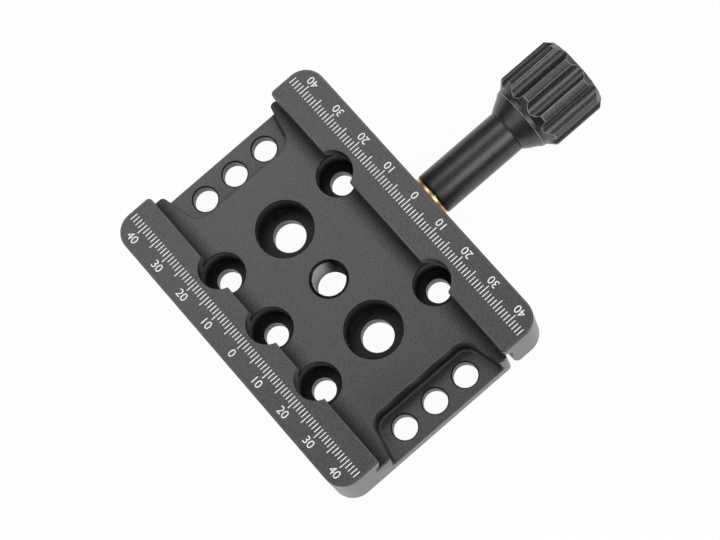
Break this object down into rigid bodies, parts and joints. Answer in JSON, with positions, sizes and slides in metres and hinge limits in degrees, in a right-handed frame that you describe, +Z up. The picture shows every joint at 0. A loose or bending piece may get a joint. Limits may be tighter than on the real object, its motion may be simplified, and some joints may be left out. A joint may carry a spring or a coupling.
{
  "type": "dovetail saddle clamp",
  "caption": "Saddle clamp for dovetail camera plates: a base with a fixed jaw and screw holes, a sliding jaw and a long ribbed clamp knob.",
  "frame": {"origin": "centre of the central tapped hole, in the plane of the underside", "axes": "+X along the jaws, +Y from the fixed jaw towards the knob, +Z up out of the channel"},
  "size_m": [0.0908, 0.1153, 0.0217],
  "materials": {
    "anodised": "bead blasted and anodised black, matte",
    "satin_black": "black anodised, satin",
    "brass": "turned",
    "steel": "ground"
  },
  "bodies": {
    "base": {"clamp_body": "anodised", "return_spring_1": "steel", "return_spring_2": "steel"},
    "jaw": {"moving_jaw": "anodised", "guide_pin_1": "steel", "guide_pin_2": "steel", "thrust_washer": "brass"},
    "knob": {"clamp_screw": "steel", "knob_sleeve": "satin_black", "knob_grip": "satin_black"}
  },
  "joints": [
    {"name": "jaw_slide", "type": "slide", "parent": "base", "child": "jaw", "axis": [0, 1, 0], "range_m": [-0.001, 0.004], "deforming": ["return_spring_1", "return_spring_2"]},
    {"name": "knob_turn", "type": "hinge", "parent": "jaw", "child": "knob", "pos_m": [0, 0.0324, 0.007], "axis": [0, 1, 0], "range_deg": [-360, 1440]}
  ],
  "couplings": [
    {"joint": "knob_turn", "follows": "jaw_slide", "rad_per_m": 6283.2}
  ]
}
